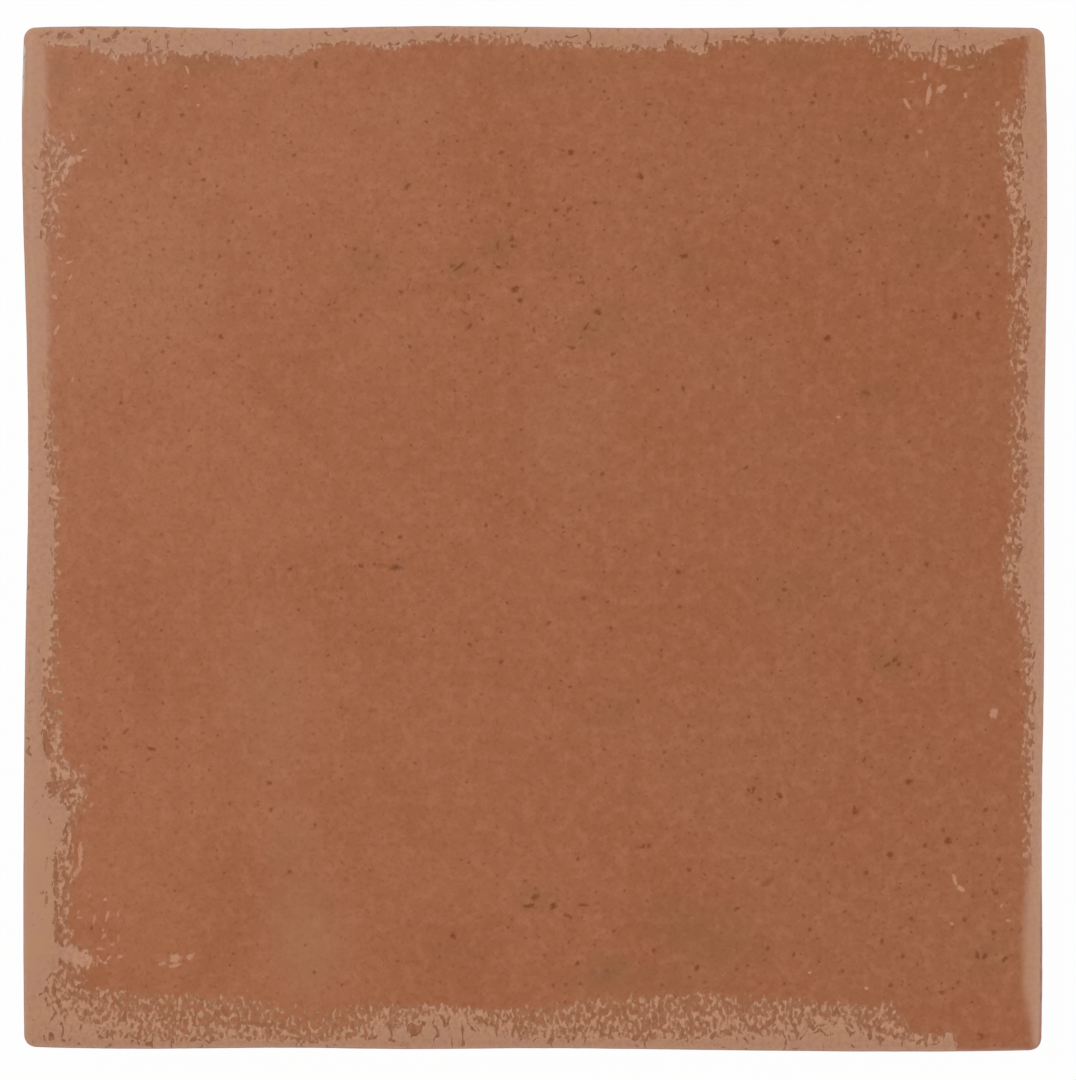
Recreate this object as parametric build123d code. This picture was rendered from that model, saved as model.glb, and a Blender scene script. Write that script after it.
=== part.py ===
from build123d import *
import os
from math import cos, pi, sin

# A square glazed wall tile, pressed and fired in one piece, lying with its glazed face up.
# +Z is out of the glaze and +Y is the top of the face. The origin is the middle of the
# bedding plane that the ribs of the back lie in. Sizes are in millimetres.

# Format
tile_width = 100.0          # along X, between the nominal lines of the sides
tile_height = 100.0         # along Y
tile_thickness = 9.0        # from the bedding plane to the middle of the face

# Edges
corner_radius = 1.2         # of the four upright corners
cushion_radius = 1.1        # roll of the glazed edge from the face to the sides
side_draft = 0.4            # how much further in the sides stand at the back
back_arris = 0.35           # worn edge round the back

# Uneven glazed face
wave_height = 0.12          # rise and fall of the face's long waves
wave_length = 62.0          # crest to crest along X
cross_wave_length = 47.0    # crest to crest along Y
edge_fall = 0.22            # how far the face sinks towards its edges
edge_fall_power = 6         # a high power keeps that fall near the edges

# Keyed back: raised ribs round a grid of shallow pockets
pocket_rows = 6
border_width = 6.5          # flat margin from the nominal sides to the outer pockets
rib_width = 2.6             # in the bedding plane
pocket_depth = 0.75
pocket_draft = 25.0         # degrees that the pockets' walls lean out, so that the die lets go
pocket_corner_cut = 1.1     # the die's pads have their corners cut off, so that they don't chip

# Uneven sides, each from its left or lower end to its other end, as the share of the half
# side from its middle and the distance that the side stands out of its nominal line
left_wave = [(-1, -0.07), (-0.64, 0.0), (-0.18, -0.22), (0.06, -0.47), (0.4, -0.29), (0.64, 0.06), (1, -0.08)]
right_wave = [(-1, -0.4), (-0.76, -0.31), (-0.54, -0.38), (-0.3, -0.2), (0.3, -0.06), (0.52, 0.11), (1, -0.1)]
bottom_wave = [(-1, -0.28), (-0.68, -0.09), (-0.46, -0.16), (-0.24, -0.04), (-0.06, -0.13), (0.3, 0.0), (1, 0.1)]
top_wave = [(-1, -0.02), (-0.76, 0.08), (-0.54, -0.09), (-0.24, 0.12), (0.2, -0.08), (0.5, 0.02), (1, 0.0)]

trim_allowance = 2.0        # how far blanks and cutters pass the surfaces that they make
face_stations = 17          # points along each way of the face's surface


def face_height(x, y):
    waves = sin(2 * pi * x / wave_length + 0.8) * cos(2 * pi * y / cross_wave_length - 0.5)
    fall = abs(2 * x / tile_width) ** edge_fall_power + abs(2 * y / tile_height) ** edge_fall_power
    return tile_thickness + wave_height * waves - edge_fall * fall


def outline(inset):
    # The wavy square of the sides, moved in by the inset, with its corners rounded.
    half_width = tile_width / 2
    half_height = tile_height / 2
    lower = [(share * half_width, -half_height - out + inset) for share, out in bottom_wave]
    upper = [(share * half_width, half_height + out - inset) for share, out in top_wave]
    left = [(-half_width - out + inset, share * half_height) for share, out in left_wave]
    right = [(half_width + out - inset, share * half_height) for share, out in right_wave]
    lower_left = (left[0][0], lower[0][1])
    lower_right = (right[0][0], lower[-1][1])
    upper_left = (left[-1][0], upper[0][1])
    upper_right = (right[-1][0], upper[-1][1])
    with BuildSketch() as shape:
        with BuildLine():
            Spline(lower_left, *lower[1:-1], lower_right)
            Spline(lower_right, *right[1:-1], upper_right)
            Spline(upper_right, *upper[-2:0:-1], upper_left)
            Spline(upper_left, *left[-2:0:-1], lower_left)
        make_face()
        fillet(shape.vertices(), corner_radius)
    return shape.sketch


def blank():
    # The pressed blank, drawn in towards the back, a little taller than the tile.
    blank_height = tile_thickness + trim_allowance
    top_inset = side_draft * (1 - blank_height / tile_thickness)
    return loft([outline(side_draft), Pos(0, 0, blank_height) * outline(top_inset)], ruled=True)


def above_face():
    # All that lies over the glazed face, which is one gently waved surface.
    half_width = tile_width / 2 + trim_allowance
    half_height = tile_height / 2 + trim_allowance
    steps = [2 * i / (face_stations - 1) - 1 for i in range(face_stations)]
    points = [
        [(u * half_width, v * half_height, face_height(u * half_width, v * half_height)) for u in steps]
        for v in steps
    ]
    surface = Face.make_surface_from_array_of_points(points)
    return Solid.extrude(surface, Vector(0, 0, 2 * trim_allowance))


def back_pockets():
    # One drafted pocket for each square between the ribs.
    width = (tile_width - 2 * border_width - (pocket_rows - 1) * rib_width) / pocket_rows
    height = (tile_height - 2 * border_width - (pocket_rows - 1) * rib_width) / pocket_rows
    mouth = chamfer(Rectangle(width, height).vertices(), pocket_corner_cut)
    pocket = extrude(mouth, pocket_depth, taper=pocket_draft)
    grid = GridLocations(width + rib_width, height + rib_width, pocket_rows, pocket_rows)
    return [place * pocket for place in grid]


def wall_tile():
    body = blank() - above_face()
    face_edges = body.faces().sort_by(Axis.Z)[-1].edges()
    body = fillet(face_edges, cushion_radius)
    back_edges = body.faces().sort_by(Axis.Z)[0].edges()
    body = fillet(back_edges, back_arris)
    return body - back_pockets()


os.makedirs("parts", exist_ok=True)
tile = wall_tile()
tile.label = "wall_tile"
export_step(tile, "parts/wall_tile.step")
print("wall_tile", round(tile.volume), "mm3", tile.bounding_box())
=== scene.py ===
# Glazed wall tile: satin terracotta glaze worn pale round the rim, over a pale fired body
import math
from functools import partial

import bpy
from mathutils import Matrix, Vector
from mathutils.kdtree import KDTree


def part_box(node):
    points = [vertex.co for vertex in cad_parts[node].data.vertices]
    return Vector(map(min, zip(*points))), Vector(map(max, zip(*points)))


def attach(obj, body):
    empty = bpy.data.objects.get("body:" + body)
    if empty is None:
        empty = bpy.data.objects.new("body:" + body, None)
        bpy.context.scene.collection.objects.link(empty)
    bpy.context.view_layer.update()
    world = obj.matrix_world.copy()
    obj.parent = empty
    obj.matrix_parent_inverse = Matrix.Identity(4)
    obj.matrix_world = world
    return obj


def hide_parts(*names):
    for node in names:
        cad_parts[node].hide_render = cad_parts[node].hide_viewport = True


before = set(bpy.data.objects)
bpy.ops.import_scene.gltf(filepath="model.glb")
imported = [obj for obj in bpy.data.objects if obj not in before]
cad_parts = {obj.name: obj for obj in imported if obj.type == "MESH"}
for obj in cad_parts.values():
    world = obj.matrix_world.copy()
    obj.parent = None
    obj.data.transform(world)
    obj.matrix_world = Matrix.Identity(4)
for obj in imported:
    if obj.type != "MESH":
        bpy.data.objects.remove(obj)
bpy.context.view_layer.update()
tileLow, tileHigh = (Vector(corner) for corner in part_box("wall_tile"))
millimetre = 0.001


# The photograph shows the face square on, so a pixel of it is a place on the tile
photo = {
    "width": 1076,                     # pixels
    "height": 1080,
    "tileMiddle": (534.5, 538.5),      # pixel at the middle of the face
    "pixelsPerMillimetre": 10.24,      # at the widest line of the sides
    "widestLine": 7.9 * millimetre,    # its height
    "lens": 100,                       # mm
    "sensor": 36,
}
viewWidth = photo["width"] / photo["pixelsPerMillimetre"] * millimetre
cameraDistance = viewWidth * photo["lens"] / photo["sensor"]
faceScale = cameraDistance / (cameraDistance + photo["widestLine"] - tileHigh.z)


def facePlace(x, y):                   # millimetres from the middle of the face, y up
    middle = photo["tileMiddle"]
    return Vector((x - middle[0], middle[1] - y, 0)) / photo["pixelsPerMillimetre"]


def linear(hexColour):                 # sRGB hex to the linear colour that the shader wants
    channels = [int(hexColour[i:i + 2], 16) / 255 for i in (1, 3, 5)]
    return [c / 12.92 if c <= 0.04045 else ((c + 0.055) / 1.055) ** 2.4 for c in channels] + [1]


def addNode(tree, kind, settings, sockets):
    node = tree.nodes.new("ShaderNode" + kind)
    for name, value in settings.items():
        setattr(node, name, value)
    usable = [socket for socket in node.inputs if socket.enabled]
    for key, value in sockets.items():
        socket = usable[key] if isinstance(key, int) else next(s for s in usable if s.name == key)
        if isinstance(value, bpy.types.Node):
            value = next(out for out in value.outputs if out.enabled)
        if isinstance(value, bpy.types.NodeSocket):
            tree.links.new(value, socket)
        else:
            socket.default_value = linear(value) if isinstance(value, str) else value
    return node


def startMaterial(name):               # with what adds a node to it
    material = bpy.data.materials.new(name)
    material.use_nodes = True
    material.node_tree.nodes.clear()
    return material, partial(addNode, material.node_tree)


# Settings that many nodes share
smooth = {"interpolation_type": "SMOOTHSTEP"}
colours = {"data_type": "RGBA"}
numbers = {"data_type": "FLOAT"}
flat = {"noise_dimensions": "2D"}
times = {"operation": "MULTIPLY"}
timesPlus = {"operation": "MULTIPLY_ADD"}
minus = {"operation": "SUBTRACT"}
inMillimetres = (1000, 1000, 1000)     # what the metres of Object coordinates are multiplied by


# Finished tile: a fine grid for the face, its rim rolled down over the sides, and a ribbed back
tileShape = {
    "faceCells": 260,                  # cells across the face, 0.38 mm each
    "cushionRings": 5,
    "cushionStep": 0.32 * millimetre,  # drop of each ring over the cushion
    "sideRings": 6,
    "backArris": 0.35 * millimetre,
    "pocketRows": 6,
    "borderWidth": 6.5 * millimetre,
    "ribWidth": 2.6 * millimetre,
    "pocketDepth": 0.75 * millimetre,
    "pocketDraft": 25,                 # degrees
    "pocketCornerRadius": 1.1 * millimetre,
    "pocketCornerSegments": 3,
    "smoothingPasses": 12,             # takes the facets of the solid out of the wrapped face
    "smoothingFactor": 0.8,
    "smoothingRoom": 2 * millimetre,   # the smoothing sets in over this width
    "smoothingFrom": 0.6,              # and starts at this share of it from the sides
    "leastSlope": 0.1 * millimetre,    # height difference that tells a sloping edge of a pocket
    "mergeGap": 0.001 * millimetre,
    "sharpAngle": 40,                  # degrees, above which an edge stays crisp
}


def selectNothing():
    for thing in bpy.context.selected_objects:
        thing.select_set(False)


def startEditing(kind, action):
    bpy.ops.object.mode_set(mode="EDIT")
    bpy.ops.mesh.select_mode(type=kind)
    bpy.ops.mesh.select_all(action=action)


def applyModifier(piece, kind, settings):
    modifier = piece.modifiers.new(kind.lower(), kind)
    for name, value in settings.items():
        setattr(modifier, name, value)
    bpy.ops.object.modifier_apply(modifier=modifier.name)


def makeFaceAndSides():
    size = tileHigh - tileLow
    middle = (tileHigh + tileLow) / 2
    selectNothing()
    bpy.ops.mesh.primitive_grid_add(
        x_subdivisions=tileShape["faceCells"],
        y_subdivisions=tileShape["faceCells"],
        size=1,
        location=(middle.x, middle.y, tileHigh.z),
    )
    piece = bpy.context.active_object
    piece.name = "glazedTile"
    piece.scale = (size.x, size.y, 1)
    bpy.ops.object.transform_apply(location=True, rotation=True, scale=True)
    startEditing("EDGE", "SELECT")
    bpy.ops.mesh.region_to_loop()
    cushionDrop = tileShape["cushionRings"] * tileShape["cushionStep"]
    sideStep = (size.z - cushionDrop - tileShape["backArris"]) / tileShape["sideRings"]
    steps = [tileShape["cushionStep"]] * tileShape["cushionRings"] + [sideStep] * tileShape["sideRings"]
    for step in steps:
        bpy.ops.mesh.extrude_region_move(TRANSFORM_OT_translate={"value": (0, 0, -step)})
    bpy.ops.object.mode_set(mode="OBJECT")
    return piece


def wrapOntoSolid(piece):
    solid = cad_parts["wall_tile"]
    applyModifier(piece, "SHRINKWRAP", {"target": solid, "wrap_method": "NEAREST_SURFACEPOINT"})
    openFace = piece.vertex_groups.new(name="openFace")
    for vertex in piece.data.vertices:
        x, y = vertex.co.xy
        fromSides = min(x - tileLow.x, tileHigh.x - x, y - tileLow.y, tileHigh.y - y)
        weight = min(1, fromSides / tileShape["smoothingRoom"] - tileShape["smoothingFrom"])
        if weight > 0:
            openFace.add([vertex.index], weight, "REPLACE")
    applyModifier(piece, "SMOOTH", {
        "factor": tileShape["smoothingFactor"],
        "iterations": tileShape["smoothingPasses"],
        "vertex_group": openFace.name,
    })


def makeBack(piece):
    width = tileHigh.x - tileLow.x
    pitch = (width - 2 * tileShape["borderWidth"] + tileShape["ribWidth"]) / tileShape["pocketRows"]
    field = pitch * tileShape["pocketRows"]
    drawIn = tileShape["pocketDepth"] * math.tan(math.radians(tileShape["pocketDraft"]))
    startEditing("EDGE", "SELECT")
    bpy.ops.mesh.region_to_loop()      # the open lower edge of the sides
    bpy.ops.mesh.extrude_region_move(TRANSFORM_OT_translate={"value": (0, 0, -tileShape["backArris"])})
    inward = 1 - 2 * tileShape["backArris"] / width
    bpy.ops.transform.resize(value=(inward, inward, 1))
    bpy.ops.object.mode_set(mode="OBJECT")
    for vertex in piece.data.vertices:
        if vertex.select:
            vertex.co.z = 0
    selectNothing()
    bpy.ops.mesh.primitive_grid_add(
        x_subdivisions=tileShape["pocketRows"],
        y_subdivisions=tileShape["pocketRows"],
        size=field,
        location=(0, 0, 0),
    )
    back = bpy.context.active_object
    startEditing("FACE", "SELECT")
    bpy.ops.mesh.flip_normals()        # the back looks down
    bpy.ops.mesh.inset(thickness=tileShape["ribWidth"] / 2, use_individual=True)
    bpy.ops.mesh.inset(thickness=drawIn, depth=-tileShape["pocketDepth"], use_individual=True)
    bpy.ops.object.mode_set(mode="OBJECT")
    points = back.data.vertices
    for edge in back.data.edges:       # the pockets' sloping corners, to be rounded
        first, second = (points[index].co.z for index in edge.vertices)
        edge.select = abs(first - second) > tileShape["leastSlope"]
    for face in back.data.polygons:
        face.select = False
    bpy.ops.object.mode_set(mode="EDIT")
    bpy.ops.mesh.select_mode(type="EDGE")
    bpy.ops.mesh.bevel(
        offset=tileShape["pocketCornerRadius"],
        segments=tileShape["pocketCornerSegments"],
        affect="EDGES",
    )
    bpy.ops.object.mode_set(mode="OBJECT")
    piece.select_set(True)
    bpy.context.view_layer.objects.active = piece
    bpy.ops.object.join()
    startEditing("EDGE", "DESELECT")
    bpy.ops.mesh.select_non_manifold()
    bpy.ops.mesh.fill()                # the flat border between the sides and the pocket field
    bpy.ops.mesh.select_all(action="SELECT")
    bpy.ops.mesh.remove_doubles(threshold=tileShape["mergeGap"])
    bpy.ops.mesh.normals_make_consistent(inside=False)
    bpy.ops.object.mode_set(mode="OBJECT")


def sinkPits(piece):
    points = piece.data.vertices
    tree = KDTree(len(points))
    for vertex in points:
        tree.insert(vertex.co, vertex.index)
    tree.balance()
    for x, y, radius, depth in pits:
        place = facePlace(x, y) * millimetre / faceScale
        place.z = tileHigh.z
        nearest = tree.find(place)[1]
        startEditing("VERT", "DESELECT")
        bpy.ops.object.mode_set(mode="OBJECT")
        points[nearest].select = True
        bpy.ops.object.mode_set(mode="EDIT")
        bpy.ops.transform.translate(
            value=(0, 0, -depth * millimetre),
            use_proportional_edit=True,
            proportional_edit_falloff="SMOOTH",
            proportional_size=radius * millimetre,
        )
        bpy.ops.object.mode_set(mode="OBJECT")


def makeTile():
    piece = makeFaceAndSides()
    print("tile: face and sides", len(piece.data.vertices))
    wrapOntoSolid(piece)
    print("tile: wrapped onto the solid")
    makeBack(piece)
    bpy.ops.object.shade_smooth_by_angle(angle=math.radians(tileShape["sharpAngle"]))
    print("tile: ribbed back joined", len(piece.data.polygons), "faces")
    sinkPits(piece)
    paintWear(piece)
    paintMarks(piece, "speckPlace", speckMarks())
    paintMarks(piece, "fleckPlace", paleFlecks)
    print("tile: marks placed")
    return piece


# The pale glaze of the rim, side by side. Each row is a place along the side, from the left or the
# top, then how deep the pale glaze is whole, how deep it reaches, how much of it is left between the
# two (0 to 1) and how ragged it is there (0 soft, 1 torn and where not given). Places and depths
# are in millimetres.
rimWear = {
    "top": [
        (0, 1.0, 1.6, 0.3, 0.3), (2.3, 1.4, 1.9, 0.6, 0.9), (5.5, 1.4, 1.9, 0.6), (7, 1.7, 2.4, 0.6),
        (9, 2.2, 3.0, 0.65), (10.8, 2.2, 2.8, 0.65), (13, 1.9, 3.2, 0.5), (14.5, 1.9, 2.6, 0.6),
        (16.3, 2.5, 2.9, 0.7, 0.8), (18, 2.3, 2.7, 0.7, 0.75), (19.6, 2.3, 2.8, 0.7, 0.8),
        (21, 2.9, 3.5, 0.7), (22.5, 2.6, 3.0, 0.7, 0.75), (27, 2.5, 2.9, 0.7, 0.75), (29, 1.3, 1.9, 0.6),
        (31.5, 1.1, 1.8, 0.5), (34, 1.3, 2.0, 0.5), (36.4, 1.6, 2.2, 0.6), (38.3, 1.2, 1.7, 0.5),
        (40.8, 1.0, 1.6, 0.5), (42.7, 0.7, 1.5, 0.45), (46.6, 0.6, 1.5, 0.4), (50, 1.4, 2.3, 0.6),
        (52.5, 1.3, 1.9, 0.6), (56.4, 1.5, 2.0, 0.65), (58.8, 1.8, 2.3, 0.7), (62.3, 1.7, 2.3, 0.7),
        (64.2, 1.2, 1.9, 0.6), (66.2, 2.0, 2.9, 0.6), (67.6, 1.2, 1.8, 0.6), (70, 0.9, 1.4, 0.6),
        (76, 0.9, 1.4, 0.55), (79, 0.8, 1.5, 0.55), (82, 0.6, 1.5, 0.45), (84, 0.5, 2.8, 0.3),
        (86, 0.7, 2.8, 0.35), (87, 2.1, 2.9, 0.55), (88.1, 2.1, 3.1, 0.5), (89.5, 1.8, 3.5, 0.35),
        (91.5, 1.7, 3.3, 0.4), (94, 1.9, 2.7, 0.5), (95.5, 1.2, 1.8, 0.5), (97, 0.7, 1.2, 0.6, 0.9),
        (100, 0.5, 1.0, 0.5, 0.5),
    ],
    "bottom": [
        (0, 1.2, 6.6, 0.7, 0.9), (4, 1.4, 6.2, 0.62), (8, 0.9, 5.8, 0.52), (14, 0.7, 5.3, 0.42),
        (18, 0.6, 5.0, 0.46), (21, 0.9, 5.1, 0.42), (25, 0.7, 4.2, 0.36), (29, 0.5, 4.0, 0.3),
        (32.5, 1.0, 4.2, 0.4), (37, 1.4, 4.4, 0.62), (41, 2.0, 4.3, 0.7), (45, 1.5, 4.0, 0.62),
        (49, 0.9, 4.2, 0.42), (53, 0.9, 4.3, 0.5), (57, 0.9, 5.2, 0.4), (61, 0.9, 5.4, 0.4),
        (65, 0.9, 5.7, 0.38), (69, 1.1, 5.2, 0.46), (73, 1.1, 5.1, 0.46), (77, 1.4, 4.6, 0.58),
        (81, 1.5, 4.4, 0.62), (84.5, 0.9, 4.4, 0.4), (85.8, 0.7, 4.2, 0.34), (87, 0.3, 1.8, 0.5),
        (89.6, 0.3, 1.4, 0.5), (90.3, 0.7, 1.9, 0.8), (91, 0.5, 1.7, 0.7), (91.6, -1, -0.6, 0),
        (100, -1, -0.6, 0),
    ],
    "left": [
        (0, 1.2, 2.4, 0, 0.15), (3, 1.7, 2.9, 0, 0.15), (9.5, 1.7, 3.2, 0, 0.2), (10.5, 1.6, 4.2, 0.3, 0.8),
        (13, 1.5, 4.9, 0.45), (14.8, 1.6, 4.2, 0.4), (16, 1.8, 3.5, 0.3, 0.9), (20.5, 1.7, 3.6, 0.3),
        (21.5, 1.7, 3.4, 0.1, 0.3), (27, 1.7, 3.3, 0.1, 0.2), (31, 1.9, 3.4, 0.2, 0.3),
        (36, 2.0, 3.2, 0.3, 0.5), (39, 2.1, 3.2, 0.4, 0.8), (42, 2.3, 3.4, 0.5), (43.4, 2.2, 3.1, 0.5),
        (45, 2.5, 3.7, 0.5), (50, 2.8, 3.4, 0.6), (54, 2.8, 3.2, 0.6), (57, 2.5, 3.4, 0.6),
        (60, 2.4, 3.3, 0.6), (62, 1.9, 3.2, 0.5), (63, 1.7, 3.0, 0.4), (65, 1.8, 3.9, 0.28),
        (68, 1.6, 3.9, 0.35), (71, 2.2, 3.7, 0.35), (72.5, 2.3, 5.6, 0.42), (75, 2.5, 6.0, 0.48),
        (77, 4.0, 5.0, 0.7), (79, 3.8, 4.8, 0.6), (80.5, 3.0, 4.9, 0.55), (83, 3.0, 4.8, 0.5),
        (87, 3.0, 4.5, 0.5), (89.5, 3.1, 4.7, 0.55), (90.2, 3.8, 6.6, 0.6), (91.6, 3.6, 6.6, 0.55),
        (92.4, 2.5, 6.0, 0.45), (95, 2.2, 6.0, 0.48), (100, 2.0, 6.2, 0.6),
    ],
    "right": [
        (0, 1.1, 2.3, 0.1, 0.2), (3.3, 1.4, 2.6, 0.2, 0.5), (6.5, 1.7, 2.8, 0.25, 0.8), (9, 2.2, 4.9, 0.38),
        (11.5, 2.2, 4.5, 0.42), (13, 2.2, 4.1, 0.5), (17, 1.9, 3.8, 0.5), (21, 1.4, 3.3, 0.4),
        (25, 1.9, 3.5, 0.32), (29, 1.5, 3.7, 0.36), (33, 1.6, 3.3, 0.36), (38, 1.8, 3.3, 0.4),
        (41, 1.8, 3.6, 0.45), (45, 1.6, 3.4, 0.32), (49, 2.1, 3.7, 0.5), (51, 2.3, 4.1, 0.55),
        (55, 2.3, 4.2, 0.5), (57, 1.3, 2.9, 0.38), (60, 1.2, 2.4, 0.5), (66, 1.0, 2.3, 0.42),
        (69, 1.1, 2.2, 0.5), (73, 1.1, 2.2, 0.5), (77, 1.3, 2.1, 0.4), (81, 1.2, 2.4, 0.5, 0.8),
        (84, 1.3, 2.7, 0, 0.2), (88, 1.4, 3.0, 0, 0.15), (94, 1.5, 2.9, 0, 0.1), (97, 0.8, 2.2, 0, 0.1),
        (100, 0.4, 1.7, 0, 0.1),
    ],
    "whole": {"top": 1.03, "bottom": 0.97, "left": 1.18, "right": 1.2},   # the lower, the more worm marks
    "sideLength": 100,                 # mm
    "wholeBlend": (-0.2, 0.25),        # mm from where the whole glaze ends, over which it breaks up
    "nearMore": 0.14,                  # the torn glaze is thicker by this near the whole glaze
    "edgeBlend": 0.4,                  # mm over which its reach ends
    "edgePower": 1.5,                  # and how late in them
    "deepest": 9,                      # mm that no glaze of the rim passes
}

# What shows of the outer arris from above, in mm from the middle of the face, y up
arrisWear = {
    "chalkFrom": (41, 44),             # a rub up the left side: where it fades in and out
    "chalkTo": (48, 49),
    "shadeLineWiderFrom": (-33, -38),           # the arris's painted shade line is wider down the lower right side
    "sides": 45,                       # the sides lie past this
}

# Marks in the face. Each is its pixel in the photograph, its length and width in mm, its turn in
# degrees and its strength.
paleFlecks = [
    (76, 958, 4.2, 1.4, -14, 1), (64, 43, 3.2, 0.5, -4, 1), (120, 957, 0.6, 0.4, 0, 0.8),
    (100, 961, 0.7, 0.35, -50, 0.9), (105, 963, 0.8, 0.35, 5, 0.9), (109, 958, 0.7, 0.35, 60, 0.9),
    (98, 958, 0.6, 0.35, -60, 0.8), (118, 939, 0.8, 0.25, 85, 0.5), (175, 959, 1.2, 1.0, 0, 1),
    (174, 966, 1.5, 0.4, 10, 0.9), (190, 957, 1.0, 0.5, 35, 0.9), (162, 964, 0.9, 0.35, 15, 0.7),
    (78, 791, 1.2, 0.7, 20, 0.9), (84, 777, 0.4, 0.35, 0, 0.6), (57, 733, 2.6, 0.7, 84, 0.9),
    (46, 768, 1.4, 0.9, 60, 0.8), (72, 852, 0.7, 0.35, 70, 0.8), (867, 989, 0.4, 0.35, 0, 1),
    (810, 973, 0.4, 0.3, 0, 0.9), (775, 241, 1.2, 0.3, 60, 0.4), (107, 916, 1.1, 0.35, 72, 0.9),
    (94, 920, 1.0, 0.35, 80, 0.7), (105, 900, 0.4, 0.35, 0, 1), (118, 914, 0.7, 0.35, 90, 0.6),
    (80, 856, 3.2, 0.5, 88, 0.95), (103, 932, 0.9, 0.3, -78, 0.7), (78, 913, 0.6, 0.25, 70, 0.6),
    (79, 918, 0.6, 0.25, 0, 0.7), (89, 896, 0.5, 0.35, 60, 0.5), (84, 811, 0.5, 0.35, 60, 0.6),
    (91, 805, 0.6, 0.4, 60, 0.6), (81, 766, 0.45, 0.35, 0, 0.6), (112, 945, 0.5, 0.35, 30, 0.7),
    (71, 868, 0.8, 0.4, 80, 0.7), (76, 873, 1.2, 0.6, 60, 0.9), (69, 161, 1.7, 1.0, 35, 1),
    (78, 158, 0.8, 0.7, 0, 1), (84, 150, 0.7, 0.3, 25, 0.9), (65, 174, 1.3, 0.5, 65, 1),
    (72, 136, 0.9, 0.3, -75, 0.8), (62, 142, 0.8, 0.35, -60, 0.9), (53, 150, 1.0, 0.4, 60, 0.9),
    (50, 138, 0.8, 0.35, -60, 0.8), (60, 152, 1.0, 0.4, 30, 0.9), (57, 183, 1.1, 0.45, -65, 0.9),
    (55, 207, 1.5, 0.45, -58, 1), (61, 235, 0.9, 0.4, -30, 0.9), (53, 198, 0.7, 0.35, 50, 0.8),
    (64, 194, 0.6, 0.3, -20, 0.8), (52, 228, 0.8, 0.35, 60, 0.8), (60, 258, 0.6, 0.3, -40, 0.8),
    (69, 262, 0.8, 0.3, 15, 0.9), (70, 277, 0.7, 0.25, 60, 0.7), (53, 274, 0.8, 0.35, 60, 0.8),
    (54, 297, 0.7, 0.45, -20, 0.9), (56, 330, 1.3, 0.4, 65, 0.8), (72, 380, 0.6, 0.25, 80, 0.6),
    (187, 69, 1.1, 0.28, -68, 0.9), (925, 76, 1.0, 0.4, 82, 0.9), (912, 81, 0.7, 0.25, 0, 0.6),
    (929, 95, 2.2, 0.5, 81, 1), (942, 88, 1.2, 0.7, 38, 1), (907, 103, 1.5, 0.45, -58, 0.9),
    (966, 95, 0.7, 0.45, 90, 0.9), (944, 60, 1.6, 0.6, 82, 1), (937, 55, 1.0, 0.4, 75, 1),
    (959, 68, 0.7, 0.5, 0, 0.9), (952, 66, 1.0, 0.35, 15, 0.7), (972, 66, 0.8, 0.35, 15, 0.6),
    (920, 131, 0.6, 0.45, 0, 0.6), (927, 153, 0.9, 0.3, -80, 0.6), (892, 56, 1.0, 0.4, 50, 0.8),
    (955, 880, 1.5, 0.4, -78, 0.9), (961, 889, 1.1, 0.55, -25, 1), (952, 924, 0.5, 0.4, 0, 0.8),
    (994, 713, 1.3, 0.8, 75, 0.9), (839, 417, 0.5, 0.35, 0, 0.8), (1005, 168, 0.6, 0.45, 60, 0.8),
    (1014, 250, 0.6, 0.4, 80, 0.8), (1010, 297, 0.6, 0.5, 0, 0.7), (1013, 320, 0.9, 0.35, 75, 0.8),
    (1002, 906, 0.6, 0.25, 80, 0.7), (1009, 921, 0.5, 0.4, 0, 0.8), (1004, 112, 1.0, 0.4, 85, 0.8),
    (1012, 125, 1.0, 0.4, 80, 0.8), (1004, 130, 0.7, 0.5, 0, 0.9), (998, 103, 0.7, 0.4, 60, 0.8),
    (1008, 147, 0.8, 0.4, 80, 0.8), (1012, 155, 0.9, 0.4, 80, 0.7), (1007, 173, 0.6, 0.4, 0, 0.8),
    (1012, 193, 1.3, 0.4, 88, 0.9), (1016, 230, 1.4, 0.45, 86, 0.9), (1014, 271, 0.9, 0.4, 75, 0.8),
    (1021, 287, 0.7, 0.4, 60, 0.8), (1017, 307, 0.8, 0.4, 80, 0.8), (1010, 329, 0.7, 0.35, 70, 0.7),
    (55, 749, 2.0, 0.6, 88, 0.9), (65, 772, 1.7, 1.3, 75, 0.8), (79, 802, 0.7, 0.6, 0, 0.7),
    (104, 936, 0.8, 0.35, 60, 0.7), (100, 949, 0.9, 0.4, 0, 0.7), (72, 933, 0.7, 0.4, 70, 0.6),
    (44, 93, 1.6, 0.35, -68, 0.6), (48, 101, 1.4, 0.35, -70, 0.6), (93, 49, 0.9, 0.5, 80, 0.9),
    (115, 59, 1.0, 0.35, -60, 0.9), (146, 61, 0.9, 0.35, 80, 0.9), (155, 60, 1.2, 0.35, -70, 0.9),
    (164, 60, 1.0, 0.4, 75, 0.9), (207, 57, 0.7, 0.35, -65, 0.9), (79, 89, 0.35, 0.3, 0, 0.7),
    (186, 86, 0.5, 0.45, 0, 0.5), (198, 105, 0.35, 0.3, 0, 0.8), (101, 71, 0.4, 0.35, 0, 0.5),
]
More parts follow.
